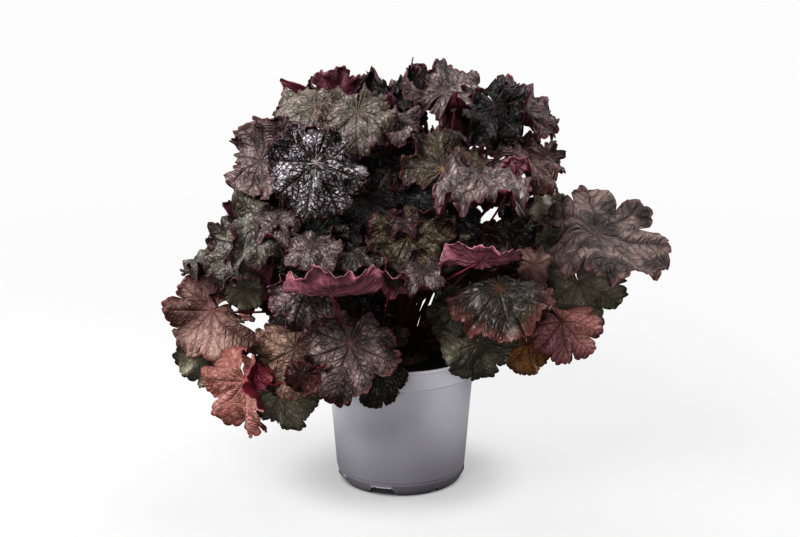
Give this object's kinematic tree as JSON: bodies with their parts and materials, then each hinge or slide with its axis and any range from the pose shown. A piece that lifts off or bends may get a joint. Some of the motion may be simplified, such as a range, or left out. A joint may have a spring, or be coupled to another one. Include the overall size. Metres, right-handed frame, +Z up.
{
  "type": "heuchera plant in nursery pot",
  "caption": "Heuchera in a round grey nursery pot: a loose mound of lobed, ruffled, quilted leaves in dark purple, bronze, salmon and grey-green on long petioles from one crown.",
  "frame": {"origin": "centre of the underside of the pot, on the plane it stands on", "axes": "+Z up along the pot axis, -Y towards the plant's front, +X to the right seen from the front"},
  "size_m": [0.4339, 0.3488, 0.3701],
  "materials": {
    "pot_plastic": "satin mid-grey moulded polypropylene",
    "soil": null,
    "crown": "short woody rootstock, dark brown",
    "leaf_black": null,
    "leaf_taupe": null,
    "leaf_bronze": null,
    "leaf_salmon": null,
    "leaf_olive": null,
    "leaf_sage": null,
    "leaf_golden": null,
    "leaf_maroon": null,
    "leaf_plum": null
  },
  "bodies": {
    "root": {"pot": "pot_plastic", "potting_soil": "soil", "crown": "crown", "leaf_upper_01": "leaf_black", "leaf_upper_02": "leaf_taupe", "leaf_upper_03": "leaf_taupe", "leaf_upper_04": "leaf_olive", "leaf_upper_05": "leaf_black", "leaf_upper_06": "leaf_bronze", "leaf_upper_07": "leaf_bronze", "leaf_upper_08": "leaf_taupe", "leaf_upper_09": "leaf_taupe", "leaf_upper_10": "leaf_black", "leaf_upper_11": "leaf_plum", "leaf_upper_12": "leaf_black", "leaf_upper_13": "leaf_taupe", "leaf_upper_14": "leaf_olive", "leaf_upper_15": "leaf_black", "leaf_upper_16": "leaf_bronze", "leaf_middle_01": "leaf_taupe", "leaf_middle_02": "leaf_taupe", "leaf_middle_03": "leaf_olive", "leaf_middle_04": "leaf_sage", "leaf_middle_05": "leaf_black", "leaf_middle_06": "leaf_olive", "leaf_middle_07": "leaf_olive", "leaf_middle_08": "leaf_bronze", "leaf_middle_09": "leaf_black", "leaf_middle_10": "leaf_maroon", "leaf_middle_11": "leaf_sage", "leaf_middle_12": "leaf_maroon", "leaf_middle_13": "leaf_taupe", "leaf_middle_14": "leaf_plum", "leaf_middle_15": "leaf_plum", "leaf_middle_16": "leaf_olive", "leaf_middle_17": "leaf_taupe", "leaf_middle_18": "leaf_taupe", "leaf_middle_19": "leaf_sage", "leaf_middle_20": "leaf_black", "leaf_middle_21": "leaf_olive", "leaf_middle_22": "leaf_bronze", "leaf_middle_23": "leaf_taupe", "leaf_lower_01": "leaf_taupe", "leaf_lower_02": "leaf_bronze", "leaf_lower_03": "leaf_salmon", "leaf_lower_04": "leaf_salmon", "leaf_lower_05": "leaf_sage", "leaf_lower_06": "leaf_sage", "leaf_lower_07": "leaf_black", "leaf_lower_08": "leaf_bronze", "leaf_lower_09": "leaf_sage", "leaf_lower_10": "leaf_golden", "leaf_lower_11": "leaf_sage", "leaf_lower_12": "leaf_sage", "leaf_lower_13": "leaf_plum", "leaf_lower_14": "leaf_sage", "leaf_lower_15": "leaf_bronze", "leaf_lower_16": "leaf_black", "leaf_lower_17": "leaf_sage", "leaf_lower_18": "leaf_salmon"}
  },
  "joints": []
}
